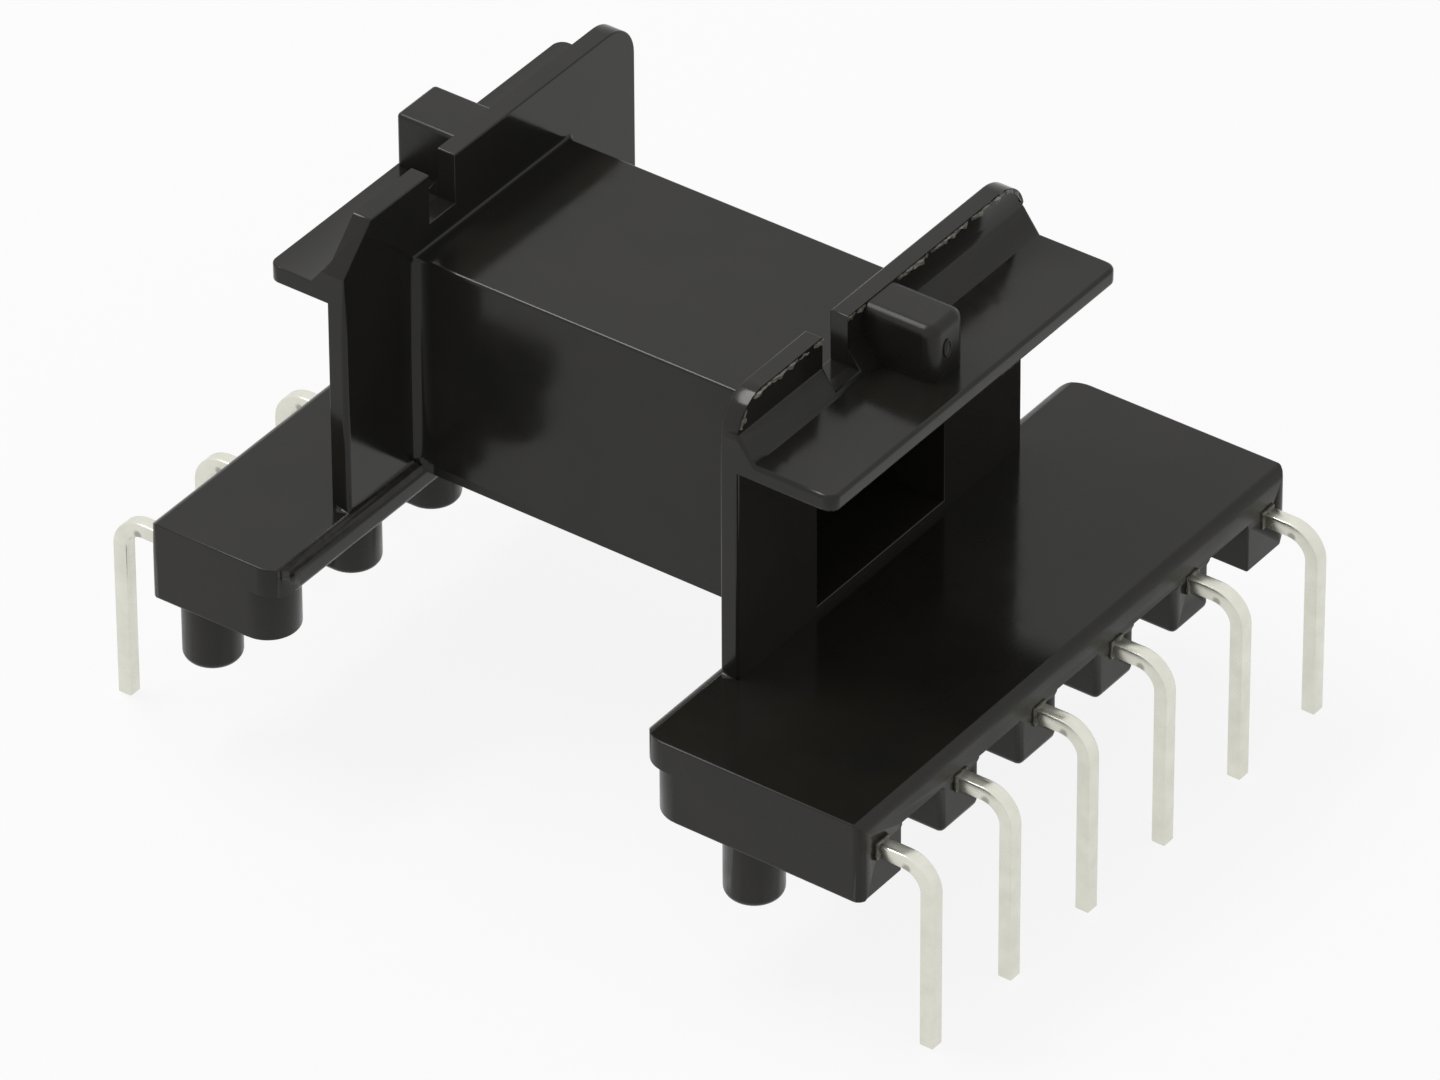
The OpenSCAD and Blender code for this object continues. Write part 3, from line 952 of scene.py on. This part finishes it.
class FORMER_OT_stage(bpy.types.Operator):
    """Sets the floor, the lights and the camera"""

    bl_idname = "former.stage"
    bl_label = "Stage"
    floor_size = 6.0
    floor_cuts = 4
    # The way from the part to the strip lamp, and the way that the lamp's length runs
    strip_way = (-0.474, -0.09, 0.876)
    strip_run = (0, -1, -0.1)
    strip_distance = 0.25
    strip_size = (0.05, 0.16)
    sensor_width = 36.0
    clip = (0.01, 20.0)

    def show(self, tree, share, scattered, direct, output):
        """Gives scattered light one shader and a share of the direct view another."""
        both = tree.nodes.new("ShaderNodeMixShader")
        tree.links.new(share, both.inputs["Fac"])
        tree.links.new(scattered.outputs[0], both.inputs[1])
        tree.links.new(direct.outputs[0], both.inputs[2])
        tree.links.new(both.outputs[0], output.inputs["Surface"])

    def set_up(self, name, data, point, axes):
        """Puts a lamp or a camera at a point, with its own axes along these."""
        thing = bpy.data.objects.new(name, data)
        bpy.context.scene.collection.objects.link(thing)
        thing.matrix_world = Matrix.Translation(point) @ Matrix(axes).transposed().to_4x4()
        return thing

    def floor(self, settings, colours):
        """A wide pale floor that keeps the part's shadow and is nearly white to the camera."""
        deselect()
        bpy.ops.mesh.primitive_grid_add(x_subdivisions=self.floor_cuts, y_subdivisions=self.floor_cuts,
                                        size=self.floor_size, location=(0, 0, 0))
        piece = added("floor")
        finish = Finish("pale floor")
        finish.tree.nodes.remove(finish.shader)
        matt = finish.node("ShaderNodeBsdfDiffuse")
        matt.inputs["Color"].default_value = colours.floor
        white = finish.node("ShaderNodeEmission")
        share = finish.worked_out("MULTIPLY", seen_directly(finish.tree), settings.white_share)
        self.show(finish.tree, share, matt, white, finish.output)
        piece.data.materials.append(finish.material)

    def sky(self, settings):
        """Even light from all sides, white where it is seen directly."""
        world = bpy.data.worlds.new("even light")
        bpy.context.scene.world = world
        world.use_nodes = True
        tree = world.node_tree
        tree.nodes.clear()
        output = tree.nodes.new("ShaderNodeOutputWorld")
        light = tree.nodes.new("ShaderNodeBackground")
        white = tree.nodes.new("ShaderNodeBackground")
        for shader, strength in ((light, settings.sky), (white, 1.0)):
            shader.inputs["Strength"].default_value = strength
            shader.inputs["Color"].default_value = (1, 1, 1, 1)
        self.show(tree, seen_directly(tree), light, white, output)

    def strip_lamp(self, settings):
        """A long lamp overhead that shines at the part's middle."""
        aim = (CAD_BOX[0] + CAD_BOX[1]) / 2
        back = Vector(self.strip_way).normalized()
        across = back.cross(Vector(self.strip_run)).normalized()
        along = across.cross(back)
        data = bpy.data.lights.new("overhead strip", "AREA")
        data.shape = "RECTANGLE"
        data.size, data.size_y = self.strip_size
        data.energy = settings.strip
        self.set_up("overhead strip", data, aim + back * self.strip_distance, (across, along, back))

    def camera(self, settings):
        """The camera, turned and shifted as the settings say."""
        turn, height, roll = settings.azimuth, settings.elevation, settings.roll
        rear = Vector((math.sin(turn) * math.cos(height), -math.cos(turn) * math.cos(height),
                       math.sin(height)))
        right = Vector((math.cos(turn), math.sin(turn), 0))
        up = rear.cross(right)
        point = Vector(settings.aim) + rear * settings.distance
        point -= right * settings.offset[0] + up * settings.offset[1]
        across = right * math.cos(roll) - up * math.sin(roll)
        upward = right * math.sin(roll) + up * math.cos(roll)
        data = bpy.data.cameras.new("camera")
        data.lens = settings.lens
        data.sensor_width = self.sensor_width
        data.sensor_fit = "HORIZONTAL"
        data.clip_start, data.clip_end = self.clip
        bpy.context.scene.camera = self.set_up("camera", data, point, (across, upward, rear))

    def execute(self, context):
        settings, colours = context.scene.former_stage, context.scene.former_colours
        context.scene.view_settings.view_transform = "Standard"
        self.floor(settings, colours)
        self.sky(settings)
        self.strip_lamp(settings)
        self.camera(settings)
        return {"FINISHED"}


class FORMER_PT_panel(bpy.types.Panel):
    """Lists the steps that dress the coil former"""

    bl_idname = "FORMER_PT_panel"
    bl_label = "Coil former"
    bl_space_type = "VIEW_3D"
    bl_region_type = "UI"
    bl_category = "Coil former"

    def draw(self, context):
        for step in STEPS:
            self.layout.operator(step.bl_idname)
        for name in GROUPS:
            group = getattr(context.scene, name)
            box = self.layout.box()
            for key in group.__annotations__:
                box.prop(group, key)


GROUPS = {"former_sizes": FormerSizes, "former_colours": FormerColours, "former_stage": FormerStage}
STEPS = (FORMER_OT_moulding, FORMER_OT_pins, FORMER_OT_flash, FORMER_OT_gate, FORMER_OT_stage)
CLASSES = (*GROUPS.values(), *STEPS, FORMER_PT_panel)


def register():
    """Registers the classes and gives the scene its settings."""
    for item in CLASSES:
        bpy.utils.register_class(item)
    for name, group in GROUPS.items():
        setattr(bpy.types.Scene, name, bpy.props.PointerProperty(type=group))


def unregister():
    """Takes the settings and the classes away again."""
    for name in GROUPS:
        delattr(bpy.types.Scene, name)
    for item in reversed(CLASSES):
        bpy.utils.unregister_class(item)


def main():
    """Dresses the part step by step."""
    register()
    bpy.ops.former.moulding()
    bpy.ops.former.pins()
    bpy.ops.former.flash()
    bpy.ops.former.gate()
    bpy.ops.former.stage()
    deselect()


if __name__ == "__main__":
    main()
